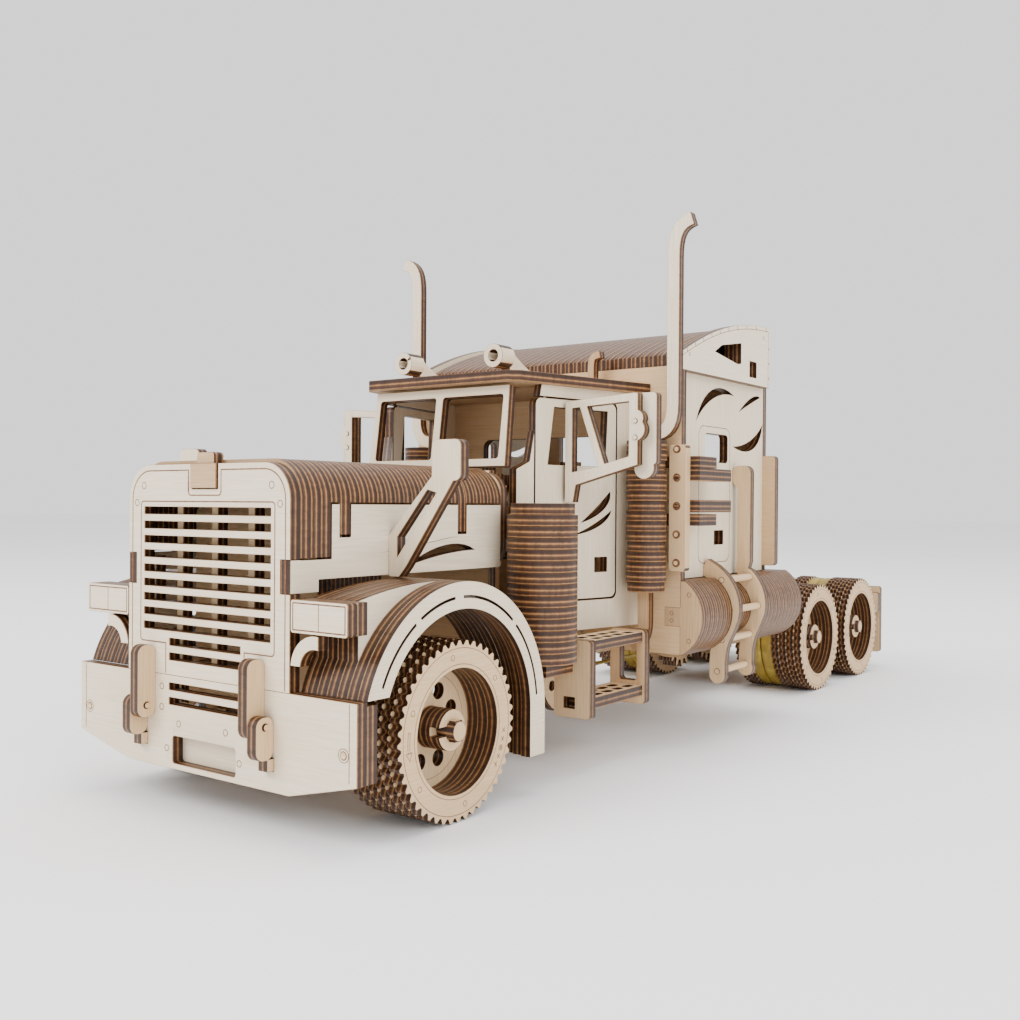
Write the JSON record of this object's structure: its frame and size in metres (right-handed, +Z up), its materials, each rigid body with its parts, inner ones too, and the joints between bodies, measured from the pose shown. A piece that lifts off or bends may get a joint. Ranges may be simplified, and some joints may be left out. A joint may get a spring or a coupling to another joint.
{
  "type": "wooden 3d jigsaw model",
  "caption": "Laser-cut plywood model kit of a long-nosed tractor unit with sleeper cab, steered front wheels, opening doors and hood, and a rubber-band drive.",
  "frame": {"origin": "centre of the footprint, on the surface that the wheels stand on", "axes": "+Y towards the tail (the radiator faces -Y), +X to the truck's left side, +Z up"},
  "size_m": [0.1352, 0.389, 0.1755],
  "materials": {
    "pale_plywood": "raw",
    "tan_plywood": "raw",
    "burnt_plywood": "raw",
    "rubber_band": "matte"
  },
  "bodies": {
    "root": {"chassis_rails": "tan_plywood", "cross_members": "tan_plywood", "front_bumper": "pale_plywood", "number_plate": "pale_plywood", "bumper_guards": "tan_plywood", "grille_surround": "pale_plywood", "grille_bars": "tan_plywood", "radiator_cap": "burnt_plywood", "headlights": "pale_plywood", "fender_left": "pale_plywood", "fender_right": "pale_plywood", "hood_sides": "pale_plywood", "engine_block": "tan_plywood", "firewall": "tan_plywood", "windshield_frame": "pale_plywood", "cab_sides": "pale_plywood", "cab_roof": "burnt_plywood", "cab_floor": "tan_plywood", "seats": "tan_plywood", "dashboard": "tan_plywood", "roof_horns": "pale_plywood", "roof_hook": "burnt_plywood", "sleeper_front_wall": "tan_plywood", "sleeper_sides": "pale_plywood", "sleeper_caps": "pale_plywood", "sleeper_roof": "burnt_plywood", "sleeper_rear_wall": "tan_plywood", "sleeper_bunk": "tan_plywood", "post_rails": "tan_plywood", "air_cleaners": "burnt_plywood", "mufflers": "burnt_plywood", "exhaust_stacks": "pale_plywood", "step_boxes": "tan_plywood", "fuel_tanks": "burnt_plywood", "ladders": "tan_plywood", "hood_mirrors": "pale_plywood", "front_axle_beam": "tan_plywood", "motor_bands": "rubber_band", "rear_deck": "tan_plywood", "mud_flaps": "tan_plywood"},
    "hood": {"hood_cover": "burnt_plywood"},
    "door_l": {"door_left": "pale_plywood", "door_mirror_left": "pale_plywood"},
    "door_r": {"door_right": "pale_plywood", "door_mirror_right": "pale_plywood"},
    "knuckle_l": {"knuckle_left": "tan_plywood"},
    "knuckle_r": {"knuckle_right": "tan_plywood"},
    "track_rod": {"tie_rod": "tan_plywood"},
    "wheel_fl": {"front_wheel_left": "tan_plywood"},
    "wheel_fr": {"front_wheel_right": "tan_plywood"},
    "axle_a": {"rear_axle_a": "tan_plywood", "rear_tyres_a": "tan_plywood", "tyre_bands_a": "rubber_band"},
    "axle_b": {"rear_axle_b": "tan_plywood", "rear_tyres_b": "tan_plywood", "tyre_bands_b": "rubber_band"},
    "motor": {"motor_shaft": "tan_plywood"},
    "winder": {"winding_wheel": "tan_plywood"},
    "helm": {"steering_wheel": "burnt_plywood"},
    "coupling_plate": {"fifth_wheel": "tan_plywood"}
  },
  "joints": [
    {"name": "steer_left", "type": "hinge", "parent": "root", "child": "knuckle_l", "pos_m": [0.033, -0.1511, 0.023], "axis": [0, 0, 1], "range_deg": [-20, 20]},
    {"name": "steer_right", "type": "hinge", "parent": "root", "child": "knuckle_r", "pos_m": [-0.033, -0.1511, 0.023], "axis": [0, 0, 1], "range_deg": [-20, 20]},
    {"name": "rod_shift", "type": "slide", "parent": "root", "child": "track_rod", "axis": [1, 0, 0], "range_m": [-0.0051, 0.0051]},
    {"name": "helm_turn", "type": "hinge", "parent": "root", "child": "helm", "pos_m": [0.014, -0.0826, 0.08], "axis": [0, -0.8192, 0.5736], "range_deg": [-120, 120]},
    {"name": "roll_front_left", "type": "hinge", "parent": "knuckle_l", "child": "wheel_fl", "pos_m": [0.045, -0.1511, 0.023], "axis": [1, 0, 0], "continuous": true},
    {"name": "roll_front_right", "type": "hinge", "parent": "knuckle_r", "child": "wheel_fr", "pos_m": [-0.045, -0.1511, 0.023], "axis": [1, 0, 0], "continuous": true},
    {"name": "roll_axle_a", "type": "hinge", "parent": "root", "child": "axle_a", "pos_m": [0, 0.1006, 0.023], "axis": [1, 0, 0], "continuous": true},
    {"name": "roll_axle_b", "type": "hinge", "parent": "root", "child": "axle_b", "pos_m": [0, 0.154, 0.023], "axis": [1, 0, 0], "continuous": true},
    {"name": "motor_turn", "type": "hinge", "parent": "root", "child": "motor", "pos_m": [0, 0.0736, 0.023], "axis": [1, 0, 0], "continuous": true},
    {"name": "winder_turn", "type": "hinge", "parent": "root", "child": "winder", "pos_m": [0, -0.058, 0.023], "axis": [1, 0, 0], "continuous": true},
    {"name": "door_left_swing", "type": "hinge", "parent": "root", "child": "door_l", "pos_m": [0.03084, -0.08408, 0.08], "axis": [0, 0, -1], "range_deg": [0, 55]},
    {"name": "door_right_swing", "type": "hinge", "parent": "root", "child": "door_r", "pos_m": [-0.03084, -0.08408, 0.08], "axis": [0, 0, 1], "range_deg": [0, 55]},
    {"name": "hood_lift", "type": "hinge", "parent": "root", "child": "hood", "pos_m": [-0.02985, -0.15, 0.076], "axis": [0, -1, 0], "range_deg": [0, 40]},
    {"name": "plate_tilt", "type": "hinge", "parent": "root", "child": "coupling_plate", "pos_m": [0, 0.1273, 0.047], "axis": [1, 0, 0], "range_deg": [-12, 12]}
  ],
  "couplings": [
    {"joint": "steer_right", "follows": "steer_left", "ratio": 1},
    {"joint": "rod_shift", "follows": "steer_left", "m_per_rad": -0.014},
    {"joint": "helm_turn", "follows": "steer_left", "ratio": 6},
    {"joint": "motor_turn", "follows": "roll_axle_a", "ratio": -1}
  ]
}
